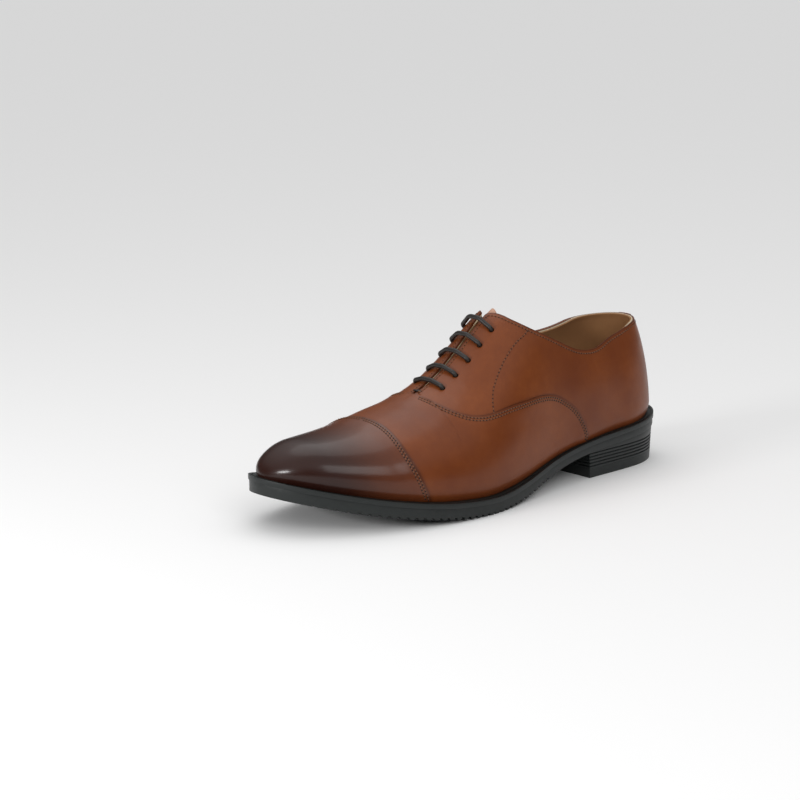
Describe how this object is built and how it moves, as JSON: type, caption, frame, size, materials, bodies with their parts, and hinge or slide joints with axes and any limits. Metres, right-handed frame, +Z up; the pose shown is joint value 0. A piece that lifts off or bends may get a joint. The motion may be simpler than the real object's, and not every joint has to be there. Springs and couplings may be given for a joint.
{
  "type": "oxford shoe",
  "caption": "Left cap-toe oxford in smooth leather with closed lacing, swinging tongue, welted rubber sole and block heel, open for a foot.",
  "frame": {"origin": "on the floor, under the middle of the shoe's outline", "axes": "+Z up, toe towards -Y, outer (lateral) side of the left shoe towards +X"},
  "size_m": [0.1063, 0.3056, 0.1084],
  "materials": {
    "upper_leather": "smooth glossy chestnut calf",
    "burnished_leather": "burnished dark chestnut, polished",
    "lining_leather": "matt tan lining",
    "sock_leather": "matt tan sock",
    "stiffener": "moulded stiffener sheet",
    "interlining": "cotton drill",
    "elastic": "woven elastic",
    "eyelet_metal": "plain brass",
    "board": "cellulose insole board",
    "foam": "latex foam",
    "steel": "spring steel",
    "cork": "cork filler",
    "sole_rubber": "satin moulded rubber",
    "heel_rubber": "matt moulded rubber",
    "lace_cord": "round waxed cotton",
    "aglet_plastic": "heat-shrunk film"
  },
  "bodies": {
    "shoe": {"toe_cap": "burnished_leather", "vamp": "upper_leather", "quarter_lateral": "upper_leather", "quarter_medial": "upper_leather", "back_strip": "upper_leather", "vamp_lining": "lining_leather", "quarter_lining_lateral": "lining_leather", "quarter_lining_medial": "lining_leather", "heel_grip": "lining_leather", "toe_puff": "stiffener", "heel_counter": "stiffener", "vamp_interlining": "interlining", "quarter_interlining_lateral": "interlining", "quarter_interlining_medial": "interlining", "facing_stay_lateral": "interlining", "facing_stay_medial": "interlining", "elastic_gore": "elastic", "eyelets_lateral": "eyelet_metal", "eyelets_medial": "eyelet_metal", "insole_board": "board", "heel_pad": "foam", "sock_lining": "sock_leather", "shank": "steel", "forefoot_filler": "cork", "welt": "sole_rubber", "outsole": "sole_rubber", "heel_block": "sole_rubber", "heel_top_piece": "heel_rubber", "heel_nails": "steel", "shoelace": "lace_cord", "lace_end_lateral": "lace_cord", "lace_end_medial": "lace_cord", "aglet_lateral": "aglet_plastic", "aglet_medial": "aglet_plastic"},
    "tongue": {"tongue": "upper_leather", "tongue_lining": "lining_leather"}
  },
  "joints": [
    {"name": "tongue_swing", "type": "hinge", "parent": "shoe", "child": "tongue", "pos_m": [-0.0027, -0.0475, 0.06097], "axis": [-1, 0, 0], "range_deg": [0, 20], "stiffness_Nm_per_rad": 0.3}
  ]
}
